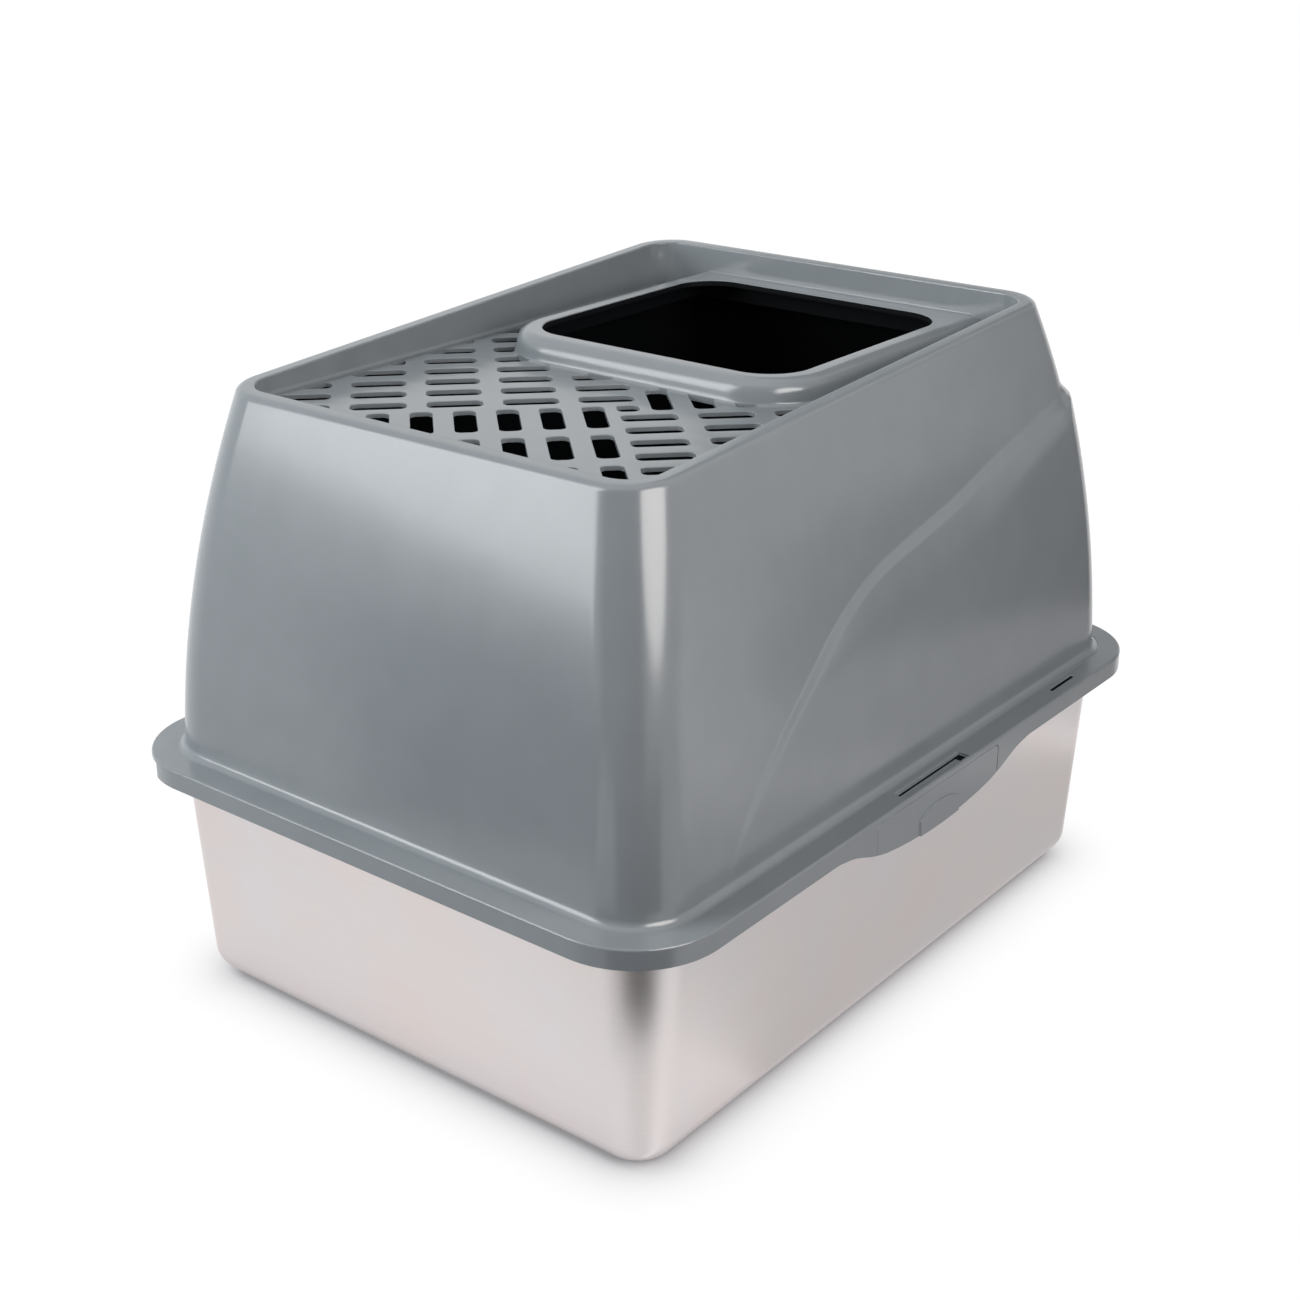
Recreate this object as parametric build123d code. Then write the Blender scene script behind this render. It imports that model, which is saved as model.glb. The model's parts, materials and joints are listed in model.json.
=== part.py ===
"""Top entry litter box: stainless steel pan, lift-off hood with a perforated deck, two side latches."""
import os
from math import atan, cos, degrees, sqrt

from build123d import *

# ---- overall sizes (mm): X across, +Y to the rear, +Z up, floor at z = 0 ----
BRIM_WIDTH = 378.7
BRIM_LENGTH = 500.0
BRIM_RADIUS = 49.7
BRIM_TOP = 144.4
SKIRT_DROP = 11.1
WALL = 2.4
SKIRT_WALL = 2.6
SEAT_GAP = 0.3
FLEX_GAP = 0.3

# ---- hood shell ----
FOOT_Z = 150.0
SIDE_LEDGE = 17.65
FRONT_LEDGE = 18.3
REAR_LEDGE = 17.0
FOOT_HALF_WIDTH = BRIM_WIDTH / 2 - SIDE_LEDGE
FOOT_FRONT = BRIM_LENGTH / 2 - FRONT_LEDGE
FOOT_REAR = BRIM_LENGTH / 2 - REAR_LEDGE
FOOT_RADIUS = 34.0
RIM_Z = 355.8
RIM_SLOPE = 0.056
SIDE_INSET = 30.2
FRONT_INSET = 34.4
REAR_INSET = 54.9
RIM_RADIUS = 27.0
RIM_WIDTH = 9.7
RIM_ROUND = 4.5
FOOT_FILLET = 4.5
RIM_RISE = RIM_Z - FOOT_Z

# ---- proud rear panel: the S-shaped line of its edge on the side wall, as (y, z) ----
PANEL_EDGE = [
    (-172.0, 145.0),
    (-149.3, 172.2),
    (-97.6, 219.2),
    (-60.7, 245.1),
    (-17.5, 266.3),
    (50.9, 276.4),
    (93.7, 289.3),
    (150.0, 300.0),
]
PANEL_OUT = 4.0
PANEL_START_LEVEL = 0.05
SHOULDER_LEVEL = 0.7225
SHOULDER_TOP_LEVEL = 0.775
SHOULDER_Y = FOOT_REAR - 46.0
PANEL_SLOPE = 2.5
TUCK = 2.0

# ---- recessed deck, entry collar and drain slots ----
DECK_DEPTH = 19.8
DECK_TOP = RIM_Z - DECK_DEPTH
DECK_RADIUS = 16.0
DECK_FILLET = 2.5
HOLE_WIDTH = 177.4
HOLE_LENGTH = 170.8
HOLE_REAR_GAP = 13.0
HOLE_CENTRE_Y = FOOT_REAR - REAR_INSET - RIM_WIDTH - HOLE_REAR_GAP - HOLE_LENGTH / 2
HOLE_RADIUS = 26.0
COLLAR_RISE = 13.4
COLLAR_TOP = DECK_TOP + COLLAR_RISE
COLLAR_OUT = 16.2
COLLAR_DRAFT = 9.0
COLLAR_ROUND = 4.0
COLLAR_LIP = 3.4
SLOT_LENGTH = 29.0
LONG_SLOT_LENGTH = 39.0
SLOT_WIDTH = 11.5
SLOT_RADIUS = 3.8
SLOT_PITCH = 22.1
SLOT_COLUMN_PITCH = 39.7
LONG_SLOT_PITCH = 50.8
SLOT_MARGIN = 4.0
SLOT_CENTRE_U = -27.3
SLOT_CENTRE_V = -72.4

# ---- brim details ----
WINDOW_LENGTH = 66.0
WINDOW_WIDTH = 7.0
WINDOW_X = BRIM_WIDTH / 2 - SKIRT_WALL - WINDOW_WIDTH + 0.25
SLIT_LENGTH = 27.0
SLIT_WIDTH = 2.0
SLIT_Y = 152.0
NOTCH_SIZE = 39.6
APRON_HALF_LENGTH = 98.0
APRON_DROP = 17.0

# ---- latches ----
LATCH_HALF_LENGTH = 62.5
LATCH_TOP = 141.0
LATCH_RADIUS = 3.6
HOOK_HALF_LENGTH = 33.0
HOOK_REACH = 2.65
HOOK_HEIGHT = 3.6
TAB_HALF_LENGTH = 20.0
TAB_TOP = 131.5
TAB_RISE = 0.9

# ---- pan ----
SHEET = 0.8
PAN_TOP_WIDTH = BRIM_WIDTH - 37.0
PAN_TOP_LENGTH = BRIM_LENGTH - 39.3
PAN_NARROWING = 12.5
PAN_DRAFT_HEIGHT = 117.0
PAN_RADIUS = 26.0
PAN_BASE_FILLET = 14.0
FLANGE_CLEAR = 1.45
FLANGE_LIP = 7.5
FOOT_HEIGHT = 1.5
FOOT_PAD_RADIUS = 10.0
FOOT_INSET = 42.0

PLATE_UNDER = BRIM_TOP - WALL
SKIRT_BOTTOM = BRIM_TOP - SKIRT_DROP
SKIRT_IN_X = BRIM_WIDTH / 2 - SKIRT_WALL
FLANGE_TOP = PLATE_UNDER - SEAT_GAP


def inset_share(t):
    """Share of the full inset that the hood wall has reached at level t (0 foot, 1 rim)."""
    return 0.28 * t + 0.72 * t * t


def level_plane(t):
    """Tilted cutting plane of the hood at level t: flat at the foot, parallel to the rim at the top."""
    return Plane(origin=(0, 0, FOOT_Z + RIM_RISE * t), x_dir=(1, 0, 0), z_dir=(0, -RIM_SLOPE * t, 1))


def level_at(y, z):
    """Level of the hood at a height z and a place y along the box."""
    return (z - FOOT_Z) / (RIM_RISE + RIM_SLOPE * y)


def shell_limits(t, offset):
    """Half width, front y, rear y and corner radius of the hood at level t, moved in by offset."""
    u = inset_share(t)
    half = FOOT_HALF_WIDTH - SIDE_INSET * u - offset
    front = -(FOOT_FRONT - FRONT_INSET * u) + offset
    rear = FOOT_REAR - REAR_INSET * u - offset
    radius = FOOT_RADIUS + (RIM_RADIUS - FOOT_RADIUS) * u - offset
    return half, front, rear, radius


def shell_section(t, offset):
    """Rounded oblong of the hood on its level plane."""
    half, front, rear, radius = shell_limits(t, offset)
    stretch = sqrt(1 + (RIM_SLOPE * t) ** 2)
    outline = RectangleRounded(2 * half, (rear - front) * stretch, radius)
    return level_plane(t) * Pos(0, (rear + front) / 2 * stretch) * outline


def shell_loft(offset, top):
    """Solid of the hood's curved walls, moved in by offset, from below the brim up to level top."""
    levels = [-0.05, 0.25, 0.5, 0.75, top]
    return loft([shell_section(t, offset) for t in levels])


def panel_loft():
    """Solid that stands out from the walls more and more towards its sloping shoulder."""
    outs = [(PANEL_START_LEVEL, -TUCK), (0.2, 0.15 * PANEL_OUT), (0.45, 0.5 * PANEL_OUT), (SHOULDER_LEVEL, PANEL_OUT)]
    sections = [shell_section(t, -out) for t, out in outs]
    cap = shell_section(SHOULDER_TOP_LEVEL, TUCK)
    return loft(sections) + loft([sections[-1], cap], ruled=True)


def panel_reach():
    """Region behind the S-shaped edge on both sides, and the whole rear end."""
    start_x = 100.0
    edge = []
    for y, z in PANEL_EDGE:
        half = shell_limits(level_at(y, z), 0)[0]
        edge.append((y, z + PANEL_SLOPE * (half - start_x)))
    shoulder_z = FOOT_Z + SHOULDER_LEVEL * (RIM_RISE + RIM_SLOPE * SHOULDER_Y)
    half = shell_limits(SHOULDER_LEVEL, 0)[0]
    edge.append((SHOULDER_Y + 1, shoulder_z + PANEL_SLOPE * (half - start_x)))
    low = FOOT_Z
    curve = Curve() + [
        Spline(edge),
        Line(edge[-1], (SHOULDER_Y + 1, low)),
        Line((SHOULDER_Y + 1, low), (edge[0][0], low)),
        Line((edge[0][0], low), edge[0]),
    ]
    side_plane = Plane(origin=(start_x, 0, 0), x_dir=(0, 1, 0), z_dir=(1, 0, 0))
    reach = BRIM_WIDTH / 2 - start_x + 30
    length = reach * sqrt(1 + PANEL_SLOPE**2)
    right = extrude(side_plane * make_face(curve), amount=length, dir=(1, 0, -PANEL_SLOPE))
    left = mirror(right, about=Plane.YZ)
    depth = BRIM_LENGTH / 2 - SHOULDER_Y + 30
    rear = Pos(0, SHOULDER_Y + depth / 2, FOOT_Z + RIM_RISE / 2) * Box(2 * BRIM_WIDTH, depth, RIM_RISE + 10)
    return right + left + rear


def hood_solid():
    """Hood walls with the proud rear panel, filled solid."""
    return shell_loft(0, 1.0) + (panel_loft() & panel_reach())


def block(width, length, radius, z_low, z_high, centre_y=0.0):
    """Upright block with rounded corners between two heights."""
    outline = RectangleRounded(width, length, radius)
    return extrude(Pos(0, centre_y, z_low) * outline, amount=z_high - z_low)


def recess_outline(offset):
    """Plan of the recess in the top of the hood, grown by offset."""
    half, front, rear, _ = shell_limits(1.0, 0)
    width = 2 * (half - RIM_WIDTH + offset)
    length = rear - front - 2 * (RIM_WIDTH - offset)
    return width, length, DECK_RADIUS + offset, (rear + front) / 2


def slot(u, v, length, width):
    """Drain slot centred at (u, v) on axes turned 45 degrees to the box."""
    return Rot(0, 0, 45) * Pos(u, v) * RectangleRounded(length, width, SLOT_RADIUS)


def deck_slots():
    """Four fields of slots that meet like a pinwheel; each field fills one quarter."""
    bar_u = SLOT_COLUMN_PITCH
    bar_v = LONG_SLOT_PITCH
    first_u = SLOT_CENTRE_U - 9.3
    first_v = SLOT_CENTRE_V + 18.8
    slots = [slot(SLOT_CENTRE_U, SLOT_CENTRE_V, SLOT_WIDTH, SLOT_WIDTH)]
    for i in range(5):
        for j in range(12):
            slots.append(slot(first_u - i * bar_u, first_v + j * SLOT_PITCH, SLOT_LENGTH, SLOT_WIDTH))
            slots.append(slot(SLOT_CENTRE_U + 9.2 + i * bar_u, SLOT_CENTRE_V - 18 - j * SLOT_PITCH,
                              SLOT_LENGTH, SLOT_WIDTH))
    for i in range(6):
        for j in range(12):
            slots.append(slot(SLOT_CENTRE_U - 18.1 - j * SLOT_PITCH, SLOT_CENTRE_V - 14 - i * bar_v,
                              SLOT_WIDTH, LONG_SLOT_LENGTH))
            slots.append(slot(SLOT_CENTRE_U + 18 + j * SLOT_PITCH, SLOT_CENTRE_V + 14.4 + i * bar_v,
                              SLOT_WIDTH, LONG_SLOT_LENGTH))
    width, length, radius, centre_y = recess_outline(-SLOT_MARGIN)
    deck = Pos(0, centre_y) * RectangleRounded(width, length, radius)
    collar = Pos(0, HOLE_CENTRE_Y) * RectangleRounded(
        HOLE_WIDTH + 2 * COLLAR_OUT, HOLE_LENGTH + 2 * COLLAR_OUT + 40, HOLE_RADIUS + COLLAR_OUT)
    field = deck - Pos(0, 20) * collar
    cuts = [face for one in slots for face in (field & one).faces()]
    return [face for face in cuts if face.area > SLOT_WIDTH]


def make_collar():
    """Raised ring round the entry: drafted outside, rounded shoulder, hollow underneath."""
    height = COLLAR_TOP - DECK_TOP + WALL
    base = Pos(0, HOLE_CENTRE_Y, DECK_TOP - WALL)
    outline = RectangleRounded(HOLE_WIDTH + 2 * COLLAR_OUT, HOLE_LENGTH + 2 * COLLAR_OUT, HOLE_RADIUS + COLLAR_OUT)
    ring = extrude(base * outline, amount=height, taper=COLLAR_DRAFT)
    ring = fillet(ring.faces().sort_by(Axis.Z)[-1].edges(), COLLAR_ROUND)
    shrink = 2 * (COLLAR_OUT - WALL)
    inside = RectangleRounded(HOLE_WIDTH + shrink, HOLE_LENGTH + shrink, HOLE_RADIUS + shrink / 2)
    hollow = extrude(base * inside, amount=height - COLLAR_LIP, taper=COLLAR_DRAFT)
    width, length, radius, centre_y = recess_outline(0)
    wall_limit = block(width, length, radius, DECK_TOP - WALL, COLLAR_TOP + 1, centre_y)
    return ring & wall_limit, hollow & wall_limit


def side_slab(outline, x_in, x_out):
    """Extrude an outline drawn on (y, z) between two places across the box."""
    plane = Plane(origin=(x_in, 0, 0), x_dir=(0, 1, 0), z_dir=(1, 0, 0))
    return extrude(plane * outline, amount=x_out - x_in)


def apron_outline():
    """Low centre of the side skirt, which hangs down like a shallow bow."""
    end = APRON_HALF_LENGTH
    low = SKIRT_BOTTOM - APRON_DROP
    bow = (0.5 * end, low + 0.22 * APRON_DROP)
    ramp = (0.85 * end, SKIRT_BOTTOM - 0.16 * APRON_DROP)
    middle = (0.66 * end, low + 0.45 * APRON_DROP)
    right = Spline((end, SKIRT_BOTTOM), ramp, middle, bow, tangents=[(-1, 0), (-1, -0.15)])
    left = Spline((-bow[0], bow[1]), (-middle[0], middle[1]), (-ramp[0], ramp[1]), (-end, SKIRT_BOTTOM),
                  tangents=[(-1, 0.15), (-1, 0)])
    lines = Curve() + [
        right,
        ThreePointArc(bow, (0, low), (-bow[0], bow[1])),
        left,
        Line((-end, SKIRT_BOTTOM), (-end, SKIRT_BOTTOM + 1)),
        Line((-end, SKIRT_BOTTOM + 1), (end, SKIRT_BOTTOM + 1)),
        Line((end, SKIRT_BOTTOM + 1), (end, SKIRT_BOTTOM)),
    ]
    return make_face(lines)


def latch_outline(offset):
    """Outline of the flexing part of the side skirt, open at the bottom."""
    half = LATCH_HALF_LENGTH + offset
    low = SKIRT_BOTTOM - 2 * APRON_DROP
    top = LATCH_TOP + offset
    radius = LATCH_RADIUS + offset
    corner = radius * (1 - sqrt(0.5))
    lines = Curve() + [
        Line((-half, low), (half, low)),
        Line((half, low), (half, top - radius)),
        ThreePointArc((half, top - radius), (half - corner, top - corner), (half - radius, top)),
        Line((half - radius, top), (-half + radius, top)),
        ThreePointArc((-half + radius, top), (-half + corner, top - corner), (-half, top - radius)),
        Line((-half, top - radius), (-half, low)),
    ]
    return make_face(lines)


def make_brim():
    """Flat brim plate with its turned-down skirt and the low apron on each side."""
    brim = block(BRIM_WIDTH, BRIM_LENGTH, BRIM_RADIUS, SKIRT_BOTTOM, BRIM_TOP)
    brim = fillet(brim.faces().sort_by(Axis.Z)[-1].edges(), 1.2)
    inner = block(BRIM_WIDTH - 2 * SKIRT_WALL, BRIM_LENGTH - 2 * SKIRT_WALL, BRIM_RADIUS - SKIRT_WALL,
                  SKIRT_BOTTOM - 1, PLATE_UNDER)
    apron = side_slab(apron_outline(), SKIRT_IN_X, BRIM_WIDTH / 2)
    return brim - inner + apron + mirror(apron, about=Plane.YZ)


def make_hood():
    """Lift-off hood: walls, brim, recessed deck with collar, all one moulding."""
    filled = hood_solid()
    rim_edges = filled.edges().filter_by(lambda e: level_at(e.center().Y, e.center().Z) > 0.995)
    filled = fillet(rim_edges, RIM_ROUND)
    filled = filled & Pos(0, 0, PLATE_UNDER + RIM_Z) * Box(2 * BRIM_WIDTH, 2 * BRIM_LENGTH, 2 * RIM_Z)

    hood = filled + make_brim()
    foot_edges = hood.edges().filter_by(
        lambda e: abs(e.center().Z - BRIM_TOP) < 0.02 and abs(e.center().X) < FOOT_HALF_WIDTH + 1
        and abs(e.center().Y) < FOOT_REAR + 1)
    hood = fillet(foot_edges, FOOT_FILLET)

    width, length, radius, centre_y = recess_outline(WALL)
    liner = block(width, length, radius, DECK_TOP - WALL, 2 * RIM_Z, centre_y)
    hood = hood - shell_loft(WALL, 1.0 - WALL / RIM_RISE) + (filled & liner)
    width, length, radius, centre_y = recess_outline(0)
    hood = hood - block(width, length, radius, DECK_TOP, 2 * RIM_Z, centre_y)

    ring, hollow = make_collar()
    hood = hood + ring
    hood = fillet(hood.edges().filter_by(lambda e: abs(e.center().Z - DECK_TOP) < 0.02), DECK_FILLET)
    hood = hood - hollow
    entry = block(HOLE_WIDTH, HOLE_LENGTH, HOLE_RADIUS, DECK_TOP - 2 * WALL, COLLAR_TOP + 1, HOLE_CENTRE_Y)
    hood = hood - entry
    cutter_height = 2 * WALL + DECK_FILLET
    slots = [extrude(Pos(0, 0, DECK_TOP - 1.5 * WALL) * face, amount=cutter_height) for face in deck_slots()]
    hood = hood - slots

    for side in (1, -1):
        window_x = side * (WINDOW_X + WINDOW_WIDTH / 2)
        slit_x = side * (WINDOW_X + SLIT_WIDTH / 2)
        middle_z = BRIM_TOP - WALL / 2
        hood = hood - Pos(window_x, 0, middle_z) * Box(WINDOW_WIDTH, WINDOW_LENGTH, 2 * WALL)
        hood = hood - Pos(slit_x, SLIT_Y, middle_z) * Box(SLIT_WIDTH, SLIT_LENGTH, 2 * WALL)
        opening = side_slab(latch_outline(FLEX_GAP / 2), SKIRT_IN_X - 0.5, BRIM_WIDTH / 2 + 1)
        hood = hood - (opening if side == 1 else mirror(opening, about=Plane.YZ))

    notch = Pos(-BRIM_WIDTH / 2, -BRIM_LENGTH / 2, PLATE_UNDER - SKIRT_DROP) * Rot(0, 0, 45)
    reach = NOTCH_SIZE
    return hood - notch * Box(2 * reach, reach, 2 * SKIRT_DROP)


def make_latch():
    """Right-hand latch: flexing part of the skirt with a finger tab outside and a hook inside."""
    skirt = Pos((SKIRT_IN_X + BRIM_WIDTH / 2) / 2, 0, (SKIRT_BOTTOM + LATCH_TOP) / 2) * Box(
        SKIRT_WALL, 2 * LATCH_HALF_LENGTH, LATCH_TOP - SKIRT_BOTTOM)
    panel = skirt + side_slab(apron_outline(), SKIRT_IN_X, BRIM_WIDTH / 2)
    panel = panel & side_slab(latch_outline(-FLEX_GAP / 2), SKIRT_IN_X - 1, BRIM_WIDTH / 2 + 1)

    half = TAB_HALF_LENGTH
    spring = TAB_TOP - 5.5
    low = SKIRT_BOTTOM - 2 * APRON_DROP
    arch = make_face(Curve() + [
        Line((-half, low), (half, low)),
        Line((half, low), (half, spring)),
        ThreePointArc((half, spring), (0, TAB_TOP), (-half, spring)),
        Line((-half, spring), (-half, low)),
    ])
    bow = side_slab(apron_outline(), SKIRT_IN_X, BRIM_WIDTH / 2 + TAB_RISE)
    tab = side_slab(arch, SKIRT_IN_X + 1, BRIM_WIDTH / 2 + TAB_RISE) & bow

    hook_top = FLANGE_TOP - FLANGE_LIP - SEAT_GAP
    x_root = SKIRT_IN_X + 0.5
    x_tip = SKIRT_IN_X - HOOK_REACH
    hook_profile = Plane.XZ * make_face(Polyline(
        (x_root, hook_top), (x_tip, hook_top), (x_tip, hook_top - 1), (x_root, hook_top - HOOK_HEIGHT), close=True))
    hook = extrude(hook_profile, amount=HOOK_HALF_LENGTH, both=True)
    return panel + tab + hook


def make_pan():
    """Pressed stainless steel pan: drafted walls, rounded base, flat rim with a turned-down lip."""
    taper = degrees(atan(PAN_NARROWING / 2 / PAN_DRAFT_HEIGHT))

    def bowl(offset, z_low):
        drop = PAN_NARROWING / PAN_DRAFT_HEIGHT * (SKIRT_BOTTOM - z_low)
        outline = RectangleRounded(PAN_TOP_WIDTH - drop - 2 * offset, PAN_TOP_LENGTH - drop - 2 * offset,
                                   PAN_RADIUS - drop / 2 - offset + 3)
        solid = extrude(Pos(0, 0, z_low) * outline, amount=FLANGE_TOP - z_low, taper=-taper)
        return fillet(solid.faces().sort_by(Axis.Z)[0].edges(), PAN_BASE_FILLET - offset)

    rim_width = BRIM_WIDTH - 2 * (SKIRT_WALL + FLANGE_CLEAR)
    rim_length = BRIM_LENGTH - 2 * (SKIRT_WALL + FLANGE_CLEAR)
    rim_radius = BRIM_RADIUS - SKIRT_WALL - FLANGE_CLEAR
    rim = block(rim_width, rim_length, rim_radius, FLANGE_TOP - FLANGE_LIP, FLANGE_TOP)
    rim = fillet(rim.faces().sort_by(Axis.Z)[-1].edges(), 1.6)
    under = block(rim_width - 2 * SHEET, rim_length - 2 * SHEET, rim_radius - SHEET,
                  FLANGE_TOP - FLANGE_LIP - 1, FLANGE_TOP - SHEET)
    return (rim - under) + bowl(0, FOOT_HEIGHT) - bowl(SHEET, FOOT_HEIGHT + SHEET)


def make_feet():
    """Four round rubber pads stuck under the corners of the pan."""
    x = (PAN_TOP_WIDTH - PAN_NARROWING) / 2 - FOOT_INSET
    y = (PAN_TOP_LENGTH - PAN_NARROWING) / 2 - FOOT_INSET
    pad = Cylinder(FOOT_PAD_RADIUS, FOOT_HEIGHT, align=(Align.CENTER, Align.CENTER, Align.MIN))
    return Compound(children=[Pos(sx * x, sy * y, 0) * pad for sx in (1, -1) for sy in (1, -1)])


os.makedirs("parts", exist_ok=True)
latch = make_latch()
nodes = {
    "litter_pan": make_pan(),
    "pan_feet": make_feet(),
    "hood": make_hood(),
    "latch_right": latch,
    "latch_left": mirror(latch, about=Plane.YZ),
}
for name, shape in nodes.items():
    export_step(shape, f"parts/{name}.step")
    print(name, shape.is_valid, len(shape.solids()), round(shape.volume), shape.bounding_box())
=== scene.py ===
"""Top entry litter box: the looks of the pan, feet, hood and latches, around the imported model."""
import json
import math

import bmesh
import bpy
from mathutils import Matrix, Quaternion, Vector

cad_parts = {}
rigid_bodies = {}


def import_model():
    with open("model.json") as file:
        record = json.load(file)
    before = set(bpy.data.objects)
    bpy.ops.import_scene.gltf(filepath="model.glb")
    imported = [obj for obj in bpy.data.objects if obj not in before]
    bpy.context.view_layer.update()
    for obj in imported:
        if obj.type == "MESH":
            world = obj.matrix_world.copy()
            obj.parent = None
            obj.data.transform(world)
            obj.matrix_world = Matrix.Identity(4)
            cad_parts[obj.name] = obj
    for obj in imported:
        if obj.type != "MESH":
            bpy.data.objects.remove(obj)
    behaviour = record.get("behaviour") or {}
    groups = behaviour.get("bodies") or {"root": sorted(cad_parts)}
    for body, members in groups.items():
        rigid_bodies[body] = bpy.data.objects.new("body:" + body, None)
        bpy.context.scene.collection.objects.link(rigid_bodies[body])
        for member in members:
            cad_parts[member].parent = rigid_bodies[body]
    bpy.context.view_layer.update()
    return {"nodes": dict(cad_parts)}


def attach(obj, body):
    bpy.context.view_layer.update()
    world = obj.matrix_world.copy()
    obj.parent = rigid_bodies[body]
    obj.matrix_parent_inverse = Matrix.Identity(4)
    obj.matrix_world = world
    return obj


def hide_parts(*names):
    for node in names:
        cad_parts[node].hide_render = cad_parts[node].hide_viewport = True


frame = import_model()

# ---------------------------------------------------------------- camera
# Product view from the front right, a little above the rim of the hood.
camera_data = bpy.data.cameras.new("camera")
camera_data.lens = 55.63
camera_data.sensor_width = 36.0
camera_data.sensor_fit = "HORIZONTAL"
camera = bpy.data.objects.new("camera", camera_data)
bpy.context.scene.collection.objects.link(camera)
camera.location = (0.6642, -0.8529, 0.6246)
camera.rotation_euler = (math.radians(67.13), 0.0, math.radians(38.30))
bpy.context.scene.camera = camera
bpy.context.scene.view_settings.view_transform = "Standard"

# ---------------------------------------------------------------- studio
# White paper floor under a white sky. Two softboxes, ahead on the left and on the right, make the glints on
# the hood; soft fills all round light it evenly; paper cards stand for the room in the steel and the gloss.


def srgb(hexcode):
    """Linear colour of an sRGB hex value."""
    values = [int(hexcode[i:i + 2], 16) / 255 for i in (1, 3, 5)]
    return (*[v / 12.92 if v <= 0.04045 else ((v + 0.055) / 1.055) ** 2.4 for v in values], 1.0)


def node(tree, kind, links=(), **settings):
    """Add a node, set its sockets and properties by name, and link (output, own input) pairs into it."""
    new = tree.nodes.new(kind)
    for key, value in settings.items():
        if hasattr(new, key):
            setattr(new, key, value)
        else:
            new.inputs[key.replace("_", " ")].default_value = value
    for output, name in links:
        tree.links.new(output, new.inputs[name])
    return new


def new_material(name):
    """Empty node material with only its output."""
    material = bpy.data.materials.new(name)
    material.use_nodes = True
    material.node_tree.nodes.clear()
    return material, material.node_tree, material.node_tree.nodes.new("ShaderNodeOutputMaterial")


def add_lamp(name, place, aim, size, power, colour, roll=0.0, shape="RECTANGLE"):
    """Soft lamp at a place, turned to face the aim, then rolled about its own axis."""
    data = bpy.data.lights.new(name, "AREA")
    data.shape = shape
    data.size, data.size_y = size
    data.energy = power
    data.color = srgb(colour)[:3]
    lamp = bpy.data.objects.new(name, data)
    bpy.context.scene.collection.objects.link(lamp)
    lamp.location = place
    facing = (Vector(aim) - Vector(place)).to_track_quat("-Z", "Y")
    lamp.rotation_euler = (facing @ Quaternion((0, 0, 1), math.radians(roll))).to_euler()
    return lamp


def seen_directly(tree):
    """1 for rays that see a surface, straight, in gloss or through glass, and 0 for rays that light it."""
    ray = node(tree, "ShaderNodeLightPath")
    seen = ray.outputs["Is Camera Ray"]
    for kind in ("Is Glossy Ray", "Is Transmission Ray"):
        either = node(tree, "ShaderNodeMath", [(seen, 0), (ray.outputs[kind], 1)], operation="MAXIMUM")
        seen = either.outputs[0]
    return seen


world = bpy.data.worlds.new("studio_sky")
bpy.context.scene.world = world
world.use_nodes = True
sky = world.node_tree
sky.nodes.clear()
fill = node(sky, "ShaderNodeBackground", Color=srgb("#f8f9fc"), Strength=0.05)
white = node(sky, "ShaderNodeBackground", Color=(1, 1, 1, 1), Strength=1.0)
mixed = node(sky, "ShaderNodeMixShader",
             [(seen_directly(sky), 0), (fill.outputs[0], 1), (white.outputs[0], 2)])
node(sky, "ShaderNodeOutputWorld", [(mixed.outputs[0], "Surface")])

FLOOR_SIZE = 60
bpy.ops.object.select_all(action="DESELECT")
bpy.ops.mesh.primitive_plane_add(size=FLOOR_SIZE, location=(0, 0, 0))
floor = bpy.context.object
floor.name = "studio_floor"
material, tree, output = new_material("floor_white_matt_paper")
paper = node(tree, "ShaderNodeBsdfDiffuse", Color=srgb("#929096"))
lit = node(tree, "ShaderNodeEmission", Color=(1, 1, 1, 1), Strength=1.06)

# The painted contact shadow: the white fades by distance alone towards the foot of the pan, most under it,
# so the paper's own lit grey shows there; that grey is real shade, the fade is painted. The nodes give the
# distance to the foot's rounded rectangle, below 0 inside it, then the share of white.
PAN_FOOT_HALF, PAN_FOOT_CORNER = (0.1637, 0.2232), 0.030
PAINTED_SHADE_UNDER_PAN, PAINTED_SHADOW_REACH = -0.008, 0.0135
WHITE_SHARE, PAINTED_SHADOW_DEPTH = 0.95, 0.42
spot = node(tree, "ShaderNodeTexCoord")
away = node(tree, "ShaderNodeVectorMath", [(spot.outputs["Object"], 0)], operation="ABSOLUTE")
away = node(tree, "ShaderNodeVectorMath", [(away.outputs[0], 0)], operation="SUBTRACT")
away.inputs[1].default_value = (*[half - PAN_FOOT_CORNER for half in PAN_FOOT_HALF], 0)
away = node(tree, "ShaderNodeVectorMath", [(away.outputs[0], 0)], operation="MAXIMUM")
away = node(tree, "ShaderNodeVectorMath", [(away.outputs[0], 0)], operation="LENGTH")
for operation, value in (("SUBTRACT", PAN_FOOT_CORNER), ("MAXIMUM", PAINTED_SHADE_UNDER_PAN), ("DIVIDE", -PAINTED_SHADOW_REACH),
                         ("EXPONENT", 0.0), ("MULTIPLY", -PAINTED_SHADOW_DEPTH), ("ADD", WHITE_SHARE)):
    away = node(tree, "ShaderNodeMath", [(away.outputs["Value"], 0)], operation=operation)
    away.inputs[1].default_value = value
share = node(tree, "ShaderNodeMath", [(seen_directly(tree), 0), (away.outputs["Value"], 1)],
             operation="MULTIPLY")
mixed = node(tree, "ShaderNodeMixShader",
             [(share.outputs[0], 0), (paper.outputs[0], 1), (lit.outputs[0], 2)])
tree.links.new(mixed.outputs[0], output.inputs["Surface"])
floor.data.materials.append(material)


def around(azimuth, distance, height):
    """Place at an azimuth and distance from the middle of the box."""
    angle = math.radians(azimuth)
    return Vector((distance * math.cos(angle), distance * math.sin(angle), height))


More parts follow.
